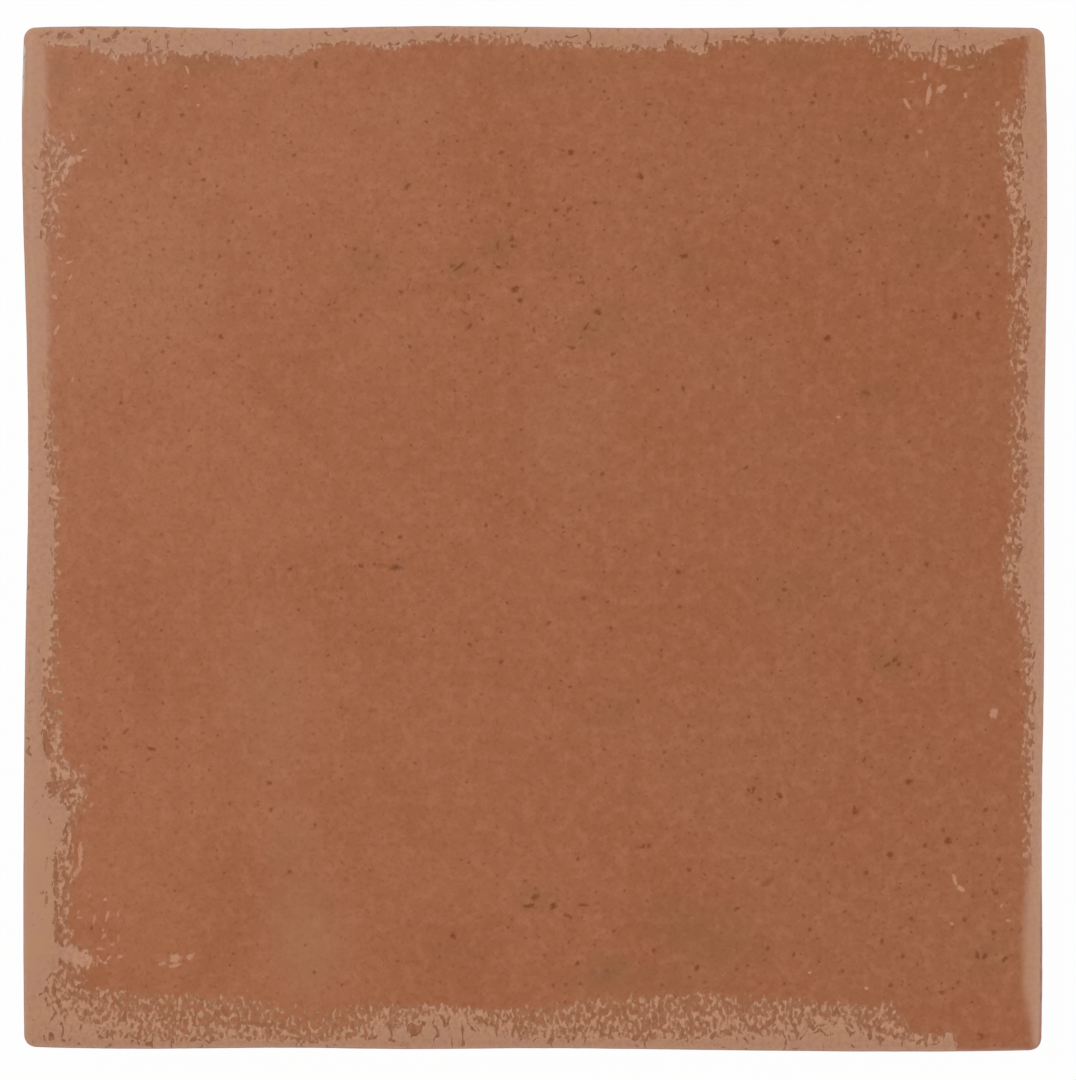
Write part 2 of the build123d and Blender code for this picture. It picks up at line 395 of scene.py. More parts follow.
darkMarks = [
    (396, 568, 2.1, 0.75, -4, 1), (382, 565, 1.6, 0.5, -10, 0.45), (407, 187, 1.1, 0.6, 50, 0.9),
    (446, 186, 0.5, 0.4, 70, 0.7), (423, 199, 0.8, 0.6, 30, 0.4), (490, 195, 0.8, 0.6, 0, 0.5),
    (468, 200, 0.5, 0.3, 0, 0.5), (473, 201, 0.6, 0.3, 60, 0.5), (509, 204, 0.7, 0.5, 60, 0.9),
    (512, 193, 0.6, 0.25, 85, 0.6), (564, 200, 0.8, 0.4, 45, 0.7), (556, 210, 0.7, 0.5, 10, 0.9),
    (568, 210, 0.9, 0.4, 75, 0.7), (595, 203, 0.7, 0.5, -20, 0.9), (419, 225, 0.6, 0.5, 0, 0.9),
    (550, 225, 0.7, 0.5, 80, 0.8), (512, 239, 0.8, 0.5, 40, 0.8), (513, 246, 0.8, 0.5, 0, 0.9),
    (498, 245, 1.1, 0.35, 88, 0.8), (480, 248, 0.9, 0.3, -5, 0.5), (459, 267, 1.7, 0.5, 35, 1),
    (453, 266, 0.8, 0.45, 0, 0.8), (476, 270, 1.0, 0.4, 45, 0.7), (499, 267, 0.9, 0.6, 0, 1),
    (553, 255, 0.8, 0.3, 75, 0.5), (551, 269, 0.5, 0.35, 0, 0.5), (562, 267, 0.9, 0.3, 10, 0.4),
    (582, 282, 1.2, 0.4, 6, 0.8), (401, 292, 0.7, 0.6, 0, 0.9), (408, 287, 0.9, 0.3, 65, 0.5),
    (469, 298, 0.6, 0.5, 0, 0.8), (488, 298, 0.5, 0.4, 0, 0.6), (481, 295, 0.6, 0.4, 0, 0.5),
    (515, 289, 1.1, 0.75, 15, 1), (520, 300, 0.9, 0.6, 0, 1), (514, 305, 0.7, 0.3, 0, 0.5),
    (465, 313, 0.8, 0.4, -40, 0.7), (470, 326, 1.0, 0.5, 40, 0.9), (438, 310, 0.8, 0.35, 75, 0.6),
    (534, 330, 1.0, 0.4, 85, 0.7), (556, 323, 0.6, 0.4, 20, 0.5), (586, 327, 1.3, 0.5, 50, 0.9),
    (597, 311, 0.9, 0.7, 60, 0.9), (594, 330, 0.6, 0.4, 0, 0.5), (402, 337, 0.7, 0.6, 0, 0.5),
    (866, 393, 1.4, 0.7, -12, 0.7), (583, 905, 1.4, 0.45, 0, 0.8), (535, 897, 1.2, 0.8, 30, 0.9),
    (529, 906, 1.3, 0.6, 10, 1), (553, 906, 1.0, 0.9, 0, 1), (568, 916, 1.2, 0.5, -25, 0.8),
    (525, 881, 0.7, 0.5, 0, 0.6), (643, 847, 1.0, 0.6, 20, 0.9), (151, 749, 1.1, 0.45, -3, 1),
    (295, 79, 2.2, 0.8, 70, 0.3), (768, 882, 1.6, 0.7, 40, 0.5), (984, 1038, 1.5, 0.6, 20, 0.6),
    (50, 32, 1.0, 0.6, 30, 0.6), (60, 35, 1.2, 0.8, 70, 1), (68, 36, 1.1, 0.8, 10, 1),
    (82, 30, 0.8, 0.5, 50, 1), (93, 28, 1.0, 0.4, 0, 0.8), (108, 40, 1.9, 0.75, -5, 1),
    (114, 35, 1.6, 0.75, 50, 1), (98, 36, 0.9, 0.4, 85, 0.7), (124, 28, 0.6, 0.4, 60, 0.6),
    (131, 31, 0.5, 0.4, 0, 0.5), (144, 39, 0.9, 0.6, 20, 0.8), (136, 41, 0.7, 0.35, 80, 0.7),
    (155, 30, 0.8, 0.35, 70, 0.8), (167, 36, 1.1, 0.65, 70, 0.9), (168, 41, 0.6, 0.3, 80, 0.7),
    (186, 29, 0.6, 0.3, 60, 0.6), (181, 45, 0.6, 0.35, 0, 0.5), (192, 34, 0.6, 0.35, 0, 0.7),
    (206, 33, 0.9, 0.3, -65, 0.6), (205, 53, 0.9, 0.5, 65, 0.8), (225, 31, 0.6, 0.35, 0, 0.6),
    (237, 34, 1.0, 0.4, 60, 0.7), (244, 39, 0.8, 0.3, -30, 0.7), (240, 46, 0.7, 0.25, 75, 0.7),
    (263, 41, 0.7, 0.3, -50, 0.8), (275, 33, 0.6, 0.3, 50, 0.5), (291, 51, 1.1, 0.5, 50, 1),
    (297, 46, 0.8, 0.4, 60, 0.8), (266, 52, 0.5, 0.3, 0, 0.5), (168, 58, 0.5, 0.4, 0, 0.5),
    (146, 62, 0.4, 0.3, 0, 0.5), (79, 54, 0.6, 0.4, 60, 0.5), (74, 58, 0.5, 0.4, 0, 0.4),
    (48, 108, 1.6, 0.3, -58, 0.5), (42, 99, 1.4, 0.25, -62, 0.5), (45, 746, 3.1, 1.2, 88, 0.8),
    (48, 728, 1.6, 0.5, 85, 0.7), (67, 771, 0.6, 0.4, 80, 0.5), (60, 780, 0.5, 0.35, 0, 0.6),
    (68, 790, 0.9, 0.5, 30, 0.65), (72, 796, 1.2, 0.5, 5, 0.5), (52, 786, 2.4, 1.4, 88, 0.7),
    (78, 805, 0.5, 0.35, 50, 0.5), (44, 817, 0.7, 0.35, 80, 0.6), (1020, 135, 1.0, 0.5, 80, 0.6),
    (1011, 166, 1.1, 0.6, 85, 0.6), (1024, 173, 0.8, 0.5, 70, 0.6), (1018, 201, 1.0, 0.5, 85, 0.6),
    (1022, 229, 1.8, 0.55, 88, 0.7), (1026, 242, 0.9, 0.4, 80, 0.6), (1026, 264, 1.0, 0.4, 85, 0.6),
    (1017, 277, 1.0, 0.5, 80, 0.6), (1022, 297, 1.1, 0.45, 88, 0.6), (1019, 335, 1.0, 0.5, 85, 0.6),
    (66, 838, 1.2, 0.5, 60, 0.7), (70, 851, 1.6, 0.5, 88, 0.7), (49, 820, 1.2, 0.35, -66, 0.8),
    (41, 788, 0.3, 0.2, 0, 0.5), (61, 802, 0.6, 0.35, 0, 0.3), (55, 874, 5.6, 0.55, 89, 0.9),
    (55, 905, 2.4, 0.45, 88, 0.7), (56, 935, 2.6, 0.5, 84, 0.8), (46, 864, 1.7, 0.4, 86, 0.8),
    (46, 898, 1.8, 0.4, 86, 0.7), (61, 868, 0.8, 0.5, 20, 0.5), (61, 910, 0.9, 0.5, 60, 0.5),
    (61, 929, 1.2, 0.6, 80, 0.6), (56, 990, 1.0, 0.6, 20, 0.7), (52, 965, 1.2, 0.4, 70, 0.6),
    (48, 978, 0.9, 0.35, 50, 0.6),
]
speckKinds = [                         # specks of three lengths in mm and strengths, and their pixels
    (0.95, 1.0, [
        (641, 176), (828, 338), (571, 152), (139, 115), (684, 256), (753, 790), (948, 841), (890, 855),
        (895, 660), (887, 665), (1005, 960), (776, 242), (598, 312), (697, 968), (860, 700), (453, 936),
        (982, 1036), (316, 63), (985, 957), (978, 956), (780, 796), (909, 782), (955, 316), (855, 812),
    ]),
    (0.7, 0.85, [
        (649, 104), (549, 623), (678, 572), (927, 564), (573, 348), (613, 354), (583, 282), (708, 289),
        (683, 388), (713, 387), (746, 468), (899, 664), (749, 790), (577, 964), (654, 951), (649, 846),
        (689, 870), (999, 860), (912, 919), (882, 941), (903, 957), (994, 933), (996, 893), (967, 216),
        (979, 218), (988, 216), (862, 234), (860, 251), (865, 132), (813, 102), (126, 162), (204, 180),
        (201, 286), (182, 115), (570, 208), (635, 267), (290, 569), (361, 566), (470, 645), (785, 590),
        (737, 909), (1017, 672), (221, 337), (148, 760), (105, 748), (400, 537), (502, 152), (129, 68),
        (129, 89), (111, 105), (200, 149), (311, 236), (871, 140), (907, 136), (837, 161), (802, 187),
        (918, 266), (984, 225), (996, 236), (998, 274), (978, 314), (602, 474), (486, 525), (659, 554),
        (584, 598), (611, 628), (501, 662), (638, 701), (126, 731), (269, 783), (271, 810), (289, 872),
        (760, 800), (986, 810), (925, 846), (866, 873), (768, 949), (794, 955), (942, 993), (891, 986),
        (965, 920), (864, 760),
    ]),
    (0.48, 0.75, [
        (398, 122), (427, 122), (378, 231), (346, 247), (604, 91), (622, 108), (686, 122), (377, 256),
        (608, 160), (619, 186), (699, 196), (722, 124), (738, 186), (757, 175), (781, 136), (804, 126),
        (676, 229), (746, 226), (723, 224), (939, 176), (900, 225), (239, 356), (335, 303), (464, 313),
        (509, 374), (480, 372), (776, 303), (787, 304), (751, 339), (770, 335), (400, 338), (361, 315),
        (883, 283), (954, 317), (168, 552), (163, 703), (342, 588), (415, 763), (561, 681), (570, 687),
        (610, 707), (781, 671), (779, 600), (758, 579), (788, 733), (756, 756), (946, 624), (915, 611),
        (919, 674), (848, 693), (887, 563), (825, 596), (962, 784), (910, 758), (224, 873), (461, 860),
        (569, 942), (544, 955), (614, 931), (972, 1003), (843, 971), (797, 861), (128, 88), (111, 202),
        (214, 373), (163, 352), (667, 376), (150, 749), (209, 770), (121, 772), (99, 750), (103, 739),
        (355, 566), (374, 564), (749, 717), (825, 756), (819, 962), (810, 930), (973, 897), (842, 837),
        (911, 823), (845, 912), (930, 885), (942, 984), (953, 989), (1000, 875), (737, 970), (549, 688),
        (93, 115), (284, 135), (291, 142), (294, 155), (217, 186), (175, 198), (260, 216), (308, 205),
        (229, 241), (150, 255), (271, 291), (302, 294), (168, 338), (116, 78), (143, 102), (186, 88),
        (204, 86), (80, 53), (75, 58), (722, 66), (791, 113), (839, 136), (875, 120), (799, 158),
        (731, 145), (913, 176), (826, 186), (728, 201), (735, 195), (800, 230), (807, 239), (871, 228),
        (850, 242), (835, 264), (939, 231), (965, 251), (913, 311), (923, 311), (950, 329), (991, 242),
        (967, 257), (967, 268), (988, 266), (991, 296), (980, 297), (962, 316), (971, 148), (982, 127),
        (492, 363), (381, 368), (632, 386), (658, 390), (537, 500), (501, 497), (580, 510), (497, 536),
        (563, 527), (466, 567), (625, 551), (604, 572), (507, 603), (680, 607), (608, 602), (373, 630),
        (465, 632), (477, 641), (501, 632), (433, 630), (661, 650), (189, 766), (177, 739), (315, 825),
        (305, 946), (314, 973), (233, 954), (192, 812), (794, 765), (939, 758), (986, 730), (848, 867),
        (978, 844), (876, 904), (251, 208), (249, 253), (260, 292), (220, 256),
    ]),
]
pits = [                               # the deepest marks are open pits: pixel, radius and depth in mm
    (396, 568, 0.9, 0.16), (641, 176, 0.7, 0.09), (828, 338, 0.7, 0.09), (515, 289, 0.8, 0.1),
    (753, 790, 0.6, 0.08), (948, 841, 0.7, 0.09), (553, 906, 0.8, 0.1), (529, 906, 0.8, 0.1),
    (1005, 960, 0.7, 0.09), (697, 968, 0.6, 0.08), (684, 256, 0.6, 0.08), (139, 115, 0.6, 0.07),
]

# What shades the face in soft clouds, given as the marks are
oliveClouds = [
    (600, 325, 9, 6, 20, 0.45), (785, 588, 11, 7, 10, 0.3), (890, 662, 6, 4, 0, 0.5),
    (612, 712, 8, 5, 30, 0.3), (700, 930, 17, 9, -20, 0.6), (610, 972, 7, 5, 0, 0.7),
    (535, 900, 6, 4, 0, 0.4), (455, 950, 9, 6, 0, 0.3), (94, 118, 5, 6, 0, 0.4),
    (690, 260, 10, 6, 0, 0.3), (498, 250, 5, 5, 0, 0.55), (880, 395, 7, 4, 0, 0.45),
    (870, 135, 8, 5, 20, 0.35), (985, 958, 7, 5, 0, 0.4), (370, 265, 8, 5, 0, 0.3),
    (460, 268, 4, 3, 0, 0.5), (560, 255, 6, 4, 0, 0.3), (200, 62, 12, 4, 0, 0.5),
    (520, 70, 18, 6, 0, 0.25), (650, 980, 24, 5, 0, 0.35), (60, 75, 3, 7, 0, 0.5),
    (980, 62, 9, 6, 20, 0.45), (885, 50, 6, 3, 0, 0.45), (800, 58, 9, 5, 0, 0.35),
    (935, 235, 8, 8, 0, 0.35),
]
paleHazes = [
    (306, 932, 12, 18, 10, 0.5), (292, 850, 8, 16, 0, 0.3), (270, 700, 12, 26, 0, 0.25),
    (34, 880, 5, 32, 0, 1.5), (170, 270, 22, 18, 0, 0.12), (420, 110, 12, 8, 0, 0.2),
    (560, 440, 14, 16, 0, 0.18),
]
speckedAreas = [
    (560, 230, 62, 46, 0, 1), (870, 300, 50, 62, 0, 0.85), (820, 650, 66, 66, 0, 0.75),
    (700, 910, 80, 44, 0, 0.9), (940, 900, 40, 50, 0, 1), (210, 240, 46, 56, 0, 0.5),
    (480, 600, 70, 60, 0, 0.5), (130, 760, 30, 24, 0, 0.6),
]

# Satin ceramic glaze over a fired body. Fired glaze is glass, so its IOR is 1.5, and a satin one
# scatters enough that lamps show only as broad soft sheens.
glaze = {
    "terracottaLeft": "#AD6A43",
    "terracottaRight": "#A5643F",
    "ember": "#A45E36",                # redder drifts in the open face
    "olive": "#875C36",
    "haze": "#AE7B5B",
    "glow": "#C2815F",                 # fine light and dark mottling of the whole face
    "shade": "#8C4920",
    "fringe": "#86522B",               # darker round each island of the worn rim
    "rimPink": "#BC886D",
    "rimStraw": "#BC8A67",
    "rimCrestHighlight": "#C99170",            # thin strokes of it, where the glaze broke, painted lighter as a painted highlight on their crests
    "rimShade": "#9F6B4D",             # finest worn marks in the whole glaze
    "fleck": "#C78F72",
    "speck": "#7E3B02",
    "grain": "#C08864",                # finest pale grains
    "arrisShadeLine": "#915545",             # painted shade: a darker line along the steep outer arris
    "sideThin": "#AB785E",             # glaze run thin down the sides
    "roughness": 0.36,
    "wornRoughness": 0.48,
    "ior": 1.5,
    "endHeight": 6.6,                  # mm above the bedding plane at which the glaze stops
    "endWander": 1.5,
    "wormSize": 0.95,                  # mm, dark worm marks in the pale glaze
    "wormBlur": 0.13,                  # softness of their edges
    "strokeSize": 0.42,                # strokes of the pale glaze where little of it is left
    "strokeLean": 14,                  # degrees
    "strokeBlur": 0.4,
    "veil": 0.15,                      # thin pale glaze left between its islands
    "dustSpacing": 1.35,               # mm between the finest dark specks
    "leastDust": 0.15,                 # share of them outside the specked areas
    "grainSpacing": 0.8,
    "reliefHeight": 0.06 * millimetre,
}

# Bare earthenware body: pale buff, dull, with fine grog
body = {
    "buff": "#C9BBA8",
    "grey": "#B5A998",
    "stain": "#A88D74",
    "chalk": "#BEB6AC",                # a rubbed arris
    "roughness": 0.88,
    "ior": 1.5,
    "grog": 0.45,                      # strength of its darker grains
    "grainSize": 0.4,                  # mm
    "grainHeight": 0.05 * millimetre,
}

# Random patterns: 2D on the face and 3D on the sides and back, size in mm, detail, roughness,
# distortion, and the two levels of the noise that become 0 and 1
patterns = {
    "cloudBreaks": ("2D", 3.5, 3, 0.6, 0, -0.2, 0.7),
    "tornPatches": ("2D", 2.4, 2, 0.5, 0, 0.35, 0.65),
    "rimMottle": ("2D", 0.5, 2, 0.6, 0.4, 0.4, 0.72),
    "rimDrift": ("2D", 3.5, 2, 0.5, 0, 0.35, 0.65),
    "between": ("2D", 0.5, 1, 0.5, 0, 0.4, 0.65),
    "embers": ("2D", 14, 3, 0.55, 0.3, 0.4, 0.7),
    "broadShades": ("2D", 2.6, 3, 0.6, 0, 0.5, 0.8),
    "glows": ("2D", 1.3, 3, 0.7, 0, 0.45, 0.75),
    "fineShades": ("2D", 0.5, 2, 0.7, 0.5, 0.5, 0.8),
    "sideDrift": ("3D", 1.1, 3, 0.6, 0.3, 0.35, 0.7),
    "rub": ("3D", 1.6, 3, 0.6, 0.4, 0.38, 0.52),
    "bodyDrift": ("3D", 7, 3, 0.55, 0, 0.35, 0.65),
    "bodyGrog": ("3D", 0.5, 2, 0.6, 0, 0.55, 0.75),
}


def smoothStep(low, high, value):
    share = min(1, max(0, (value - low) / (high - low)))
    return share * share * (3 - 2 * share)


def rowAt(rows, along):                # a row between its two neighbours
    for before, after in zip(rows, rows[1:]):
        if along <= after[0]:
            share = max(0, (along - before[0]) / (after[0] - before[0]))
            return [a + (b - a) * share for a, b in zip((*before, 1)[1:5], (*after, 1)[1:5])]
    return (*rows[-1], 1)[1:5]


def wearAt(place):                     # how much pale glaze is left, and how ragged it is
    sideLength = rimWear["sideLength"]
    across = sideLength / 2 + place.x
    down = sideLength / 2 - place.y
    depths = {"top": down, "bottom": sideLength - down, "left": across, "right": sideLength - across}
    wholeEnd, tornStart = rimWear["wholeBlend"]
    blend = rimWear["edgeBlend"]
    most = (0, 0)
    for side, depth in depths.items():
        if depth > rimWear["deepest"]:
            continue
        whole, reach, left, ragged = rowAt(rimWear[side], down if side in ("left", "right") else across)
        if depth > reach + blend:
            continue
        inTorn = smoothStep(whole, reach, depth)
        soft = 1 - inTorn
        torn = left + rimWear["nearMore"] * (1 - 2 * inTorn)
        isWhole = 1 - smoothStep(whole + wholeEnd, whole + tornStart, depth)
        torn += (rimWear["whole"][side] - torn) * isWhole
        torn *= 1 - smoothStep(reach - blend, reach + blend, depth) ** rimWear["edgePower"]
        cover = soft + (torn - soft) * ragged
        if cover > most[0]:
            most = (cover, ragged)
    return most


def readMarks(marks):
    read = []
    for x, y, length, width, turn, strength in marks:
        angle = math.radians(turn)
        read.append((facePlace(x, y), length / 2, width / 2, math.cos(angle), math.sin(angle), strength))
    return read


def inMark(mark, place):               # a place in a mark's own turned frame, 1 at its outline
    middle, halfLength, halfWidth, cosine, sine = mark[:5]
    across = place.x - middle.x
    up = place.y - middle.y
    return (across * cosine + up * sine) / halfLength, (up * cosine - across * sine) / halfWidth


def cloudAt(clouds, place):
    thickest = 0
    for cloud in clouds:
        u, v = inMark(cloud, place)
        inside = 1 - u * u - v * v
        if inside > 0:
            thickest = max(thickest, cloud[5] * inside ** 1.5)
    return thickest


def seenPlace(co):                     # the face stands nearer the camera than its outline does
    return Vector((co.x, co.y, 0)) / millimetre * faceScale


def paintWear(piece):                  # soft shades, one value a vertex
    wear = piece.data.attributes.new("rimWear", "FLOAT_VECTOR", "POINT")
    clouds = piece.data.attributes.new("faceClouds", "FLOAT_VECTOR", "POINT")
    olive = readMarks(oliveClouds)
    haze = readMarks(paleHazes)
    specked = readMarks(speckedAreas)
    lowest = tileHigh.z - 1 * millimetre   # of the face, as against the sides and the back
    for vertex in piece.data.vertices:
        place = seenPlace(vertex.co)
        cover, ragged = wearAt(place)
        bare = smoothStep(*arrisWear["chalkFrom"], place.y) * (1 - smoothStep(*arrisWear["chalkTo"], place.y))
        bare *= place.x < -arrisWear["sides"]
        shadeLineWider = smoothStep(*arrisWear["shadeLineWiderFrom"], place.y) * (place.x > arrisWear["sides"])
        wear.data[vertex.index].vector = (cover, ragged, bare - shadeLineWider)
        if vertex.co.z > lowest:
            clouds.data[vertex.index].vector = (
                cloudAt(olive, place), cloudAt(haze, place), cloudAt(specked, place))


def paintMarks(piece, name, marks):    # each face learns where it lies in the mark nearest to it
    mesh = piece.data
    layer = mesh.attributes.new(name, "FLOAT_VECTOR", "CORNER")
    layer.data.foreach_set("vector", [9.0, 9.0, 0.0] * len(mesh.loops))     # far outside every mark
    faces = [face for face in mesh.polygons if face.normal.z > 0.3]
    tree = KDTree(len(faces))
    for i, face in enumerate(faces):
        tree.insert(seenPlace(face.center), i)
    tree.balance()
    nearest = {}
    reachBeyond = 0.5                  # mm that a ragged mark may pass its outline
    for mark in readMarks(marks):
        for centre, i, _ in tree.find_range(mark[0], mark[1] + reachBeyond):
            away = Vector(inMark(mark, centre)).length
            if away < nearest.get(i, (9, None))[0]:
                nearest[i] = (away, mark)
    for i, (away, mark) in nearest.items():
        for corner in faces[i].loop_indices:
            place = seenPlace(mesh.vertices[mesh.loops[corner].vertex_index].co)
            layer.data[corner].vector = (*inMark(mark, place), mark[5])


def speckMarks():                      # each speck is turned and stretched its own way
    marks = list(darkMarks)
    for length, strength, places in speckKinds:
        for x, y in places:
            slimness = 0.55 + 0.4 * ((3 * x + 7 * y) % 11) / 10
            turn = (37 * x + 53 * y) % 180
            marks.append((x, y, length, length * slimness, turn, strength))
    return marks


def addMark(add, name, ruffle, core):   # its core is full, out to that share of its size
    layer = add("Attribute", {"attribute_name": name}, {})
    ruffled = add("VectorMath", timesPlus, {0: ruffle, 1: (1.1, 1.1, 0), 2: layer.outputs["Vector"]})
    ruffled = add("VectorMath", times, {0: ruffled, 1: (1, 1, 0)})
    away = add("VectorMath", {"operation": "LENGTH"}, {0: ruffled})
    strength = add("SeparateXYZ", {}, {0: layer.outputs["Vector"]}).outputs["Z"]
    return add("MapRange", smooth, {0: away.outputs["Value"], 1: core, 2: 1.15, 3: strength, 4: 0.0})


def addDust(add, place, spacing, radius, share, density):   # scattered specks, a share of the cells
    cells = add("TexVoronoi", {"voronoi_dimensions": "2D"}, {"Vector": place, "Scale": 1 / spacing})
    chance = add("SeparateColor", {}, {0: cells.outputs["Color"]})
    size = add("MapRange", {}, {
        0: chance.outputs["Green"], 3: radius * 0.6 / spacing, 4: radius * 1.3 / spacing})
    dot = add("MapRange", smooth, {0: cells.outputs["Distance"], 1: 0.02, 2: size, 3: 1.0, 4: 0.0})
    there = add("Math", times, {0: density, 1: share})
    there = add("Math", {"operation": "LESS_THAN"}, {0: chance.outputs["Red"], 1: there})
    tone = add("Math", times, {0: chance.outputs["Blue"], 1: there})
    return add("Math", times, {0: dot, 1: tone})


def addNoise(add, place, name):
    dimensions, size, detail, roughness, distortion, low, high = patterns[name]
    noise = add("TexNoise", {"noise_dimensions": dimensions}, {
        "Vector": place,
        "Scale": 1 / size,
        "Detail": detail,
        "Roughness": roughness,
        "Distortion": distortion,
    })
    return add("MapRange", {}, {0: noise, 1: low, 2: high})


def addBodyColour(add, place):
    grog = add("Math", times, {0: addNoise(add, place, "bodyGrog"), 1: body["grog"]})
    colour = add("Mix", colours, {0: addNoise(add, place, "bodyDrift"), 1: body["buff"], 2: body["grey"]})
    return add("Mix", colours, {0: grog, 1: colour, 2: body["stain"]})


def makeBodyMaterial():
    material, add = startMaterial("firedEarthenwareBody")
    coordinates = add("TexCoord", {}, {})
    place = add("VectorMath", times, {0: coordinates.outputs["Object"], 1: inMillimetres})
    grain = add("TexNoise", {}, {
        "Vector": place, "Scale": 1 / body["grainSize"], "Detail": 5, "Roughness": 0.6})
    bump = add("Bump", {}, {"Strength": 0.5, "Distance": body["grainHeight"], "Height": grain})
    shader = add("BsdfPrincipled", {}, {
        "Base Color": addBodyColour(add, place),
        "Roughness": body["roughness"],
        "IOR": body["ior"],
        "Normal": bump,
    })
    add("OutputMaterial", {}, {"Surface": shader})
    return material


def makeGlazeMaterial():
    material, add = startMaterial("satinTerracottaGlaze")
    coordinates = add("TexCoord", {}, {})
    solidPlace = add("VectorMath", times, {0: coordinates.outputs["Object"], 1: inMillimetres})
    place = add("VectorMath", times, {0: solidPlace, 1: (1, 1, 0)})
    axes = add("SeparateXYZ", {}, {0: solidPlace})
    ruffle = add("TexNoise", flat, {"Vector": place, "Scale": 3.0, "Detail": 1})
    ruffle = add("VectorMath", minus, {0: ruffle.outputs["Color"], 1: (0.5, 0.5, 0.5)})
    ruffled = add("VectorMath", timesPlus, {0: ruffle, 1: (0.3, 0.3, 0), 2: place})
    wear = add("Attribute", {"attribute_name": "rimWear"}, {})
    wear = add("SeparateXYZ", {}, {0: wear.outputs["Vector"]})
    cover, ragged, bare = wear.outputs
    clouds = add("Attribute", {"attribute_name": "faceClouds"}, {})
    clouds = add("VectorMath", times, {0: clouds.outputs["Vector"], 1: addNoise(add, place, "cloudBreaks")})
    olive, haze, specked = add("SeparateXYZ", {}, {0: clouds}).outputs
    specks = addMark(add, "speckPlace", ruffle, 0.25)
    flecks = addMark(add, "fleckPlace", ruffle, 0.55)

    # Dark worm marks where most of the rim's pale glaze is left, and strokes of it where little is
    stretched = add("VectorMath", times, {0: place, 1: (1, 0.7, 0)})
    worms = add("TexNoise", flat, {
        "Vector": stretched, "Scale": 1 / glaze["wormSize"], "Detail": 2, "Distortion": 0.7})
    worms = add("Math", timesPlus, {0: worms, 1: 5.5, 2: -2.75})
    worms = add("Math", {"operation": "ABSOLUTE"}, {0: worms})
    worms = add("Math", {"operation": "POWER"}, {0: worms, 1: 0.75})
    leaning = add("Mapping", {}, {
        "Vector": place, "Rotation": (0, 0, math.radians(glaze["strokeLean"])), "Scale": (1, 0.66, 0)})
    strokes = add("TexNoise", flat, {
        "Vector": leaning,
        "Scale": 1 / glaze["strokeSize"],
        "Detail": 1.5,
        "Roughness": 0.45,
        "Distortion": 0.3,
    })
    strokes = add("Math", timesPlus, {0: strokes, 1: 3.2, 2: -1.1})
    mostlyWhole = add("MapRange", smooth, {0: cover, 1: 0.5, 2: 0.8})
    broken = add("Mix", numbers, {0: mostlyWhole, 1: strokes, 2: worms})
    broken = add("Mix", numbers, {0: 0.22, 1: broken, 2: addNoise(add, place, "tornPatches")})
    level = add("Mix", numbers, {0: ragged, 1: 0.5, 2: broken})
    thick = add("Math", minus, {0: cover, 1: level})
    islands = add("Math", times, {0: flecks, 1: 0.65})
    marks = add("Math", minus, {0: islands, 1: specks})
    thick = add("Math", timesPlus, {   # in the rim, marks are tears and islands of its glaze
        0: marks, 1: ragged, 2: thick})
    blur = add("Mix", numbers, {0: mostlyWhole, 1: glaze["strokeBlur"], 2: glaze["wormBlur"]})
    blur = add("Mix", numbers, {0: ragged, 1: 0.5, 2: blur})
    blurBelow = add("Math", times, {0: blur, 1: -1.0})
    rim = add("MapRange", smooth, {0: thick, 1: blurBelow, 2: blur})

    # Thin pale glaze between the islands, and a darker colour round each
    veil = add("MapRange", smooth, {0: cover, 1: 0.05, 2: 0.5, 4: glaze["veil"]})
    fringe = add("MapRange", smooth, {0: thick, 1: -0.32, 2: -0.05, 4: 0.7})
    between = add("Math", times, {0: addNoise(add, leaning, "between"), 1: veil})
    fringe = add("Math", timesPlus, {0: between, 1: 3.0, 2: fringe})
    fringe = add("Math", {**times, "use_clamp": True}, {0: fringe, 1: ragged})

    # Open face, from the terracotta up
    density = add("Math", {"operation": "ADD"}, {0: specked, 1: glaze["leastDust"]})
    dust = addDust(add, ruffled, glaze["dustSpacing"], 0.22, 0.7, density)
    grains = addDust(add, ruffled, glaze["grainSpacing"], 0.11, 0.4, density)
    toRight = add("MapRange", smooth, {0: axes.outputs["X"], 1: -40.0, 2: 40.0})
    colour = add("Mix", colours, {0: toRight, 1: glaze["terracottaLeft"], 2: glaze["terracottaRight"]})
    layers = [
        (addNoise(add, place, "embers"), 0.65, "ember"),
        (addNoise(add, place, "broadShades"), 0.26, "shade"),
        (addNoise(add, place, "glows"), 0.4, "glow"),
        (addNoise(add, ruffled, "fineShades"), 0.52, "shade"),
        (olive, 0.7, "olive"),
        (haze, 1.0, "haze"),
        (grains, 0.55, "grain"),
        (dust, 0.8, "speck"),
        (flecks, 0.9, "fleck"),
        (veil, 1.0, "rimPink"),
        (fringe, 1.0, "fringe"),
    ]
    for amount, strength, name in layers:
        scaled = add("Math", times, {0: amount, 1: strength})
        colour = add("Mix", colours, {0: scaled, 1: colour, 2: glaze[name]})
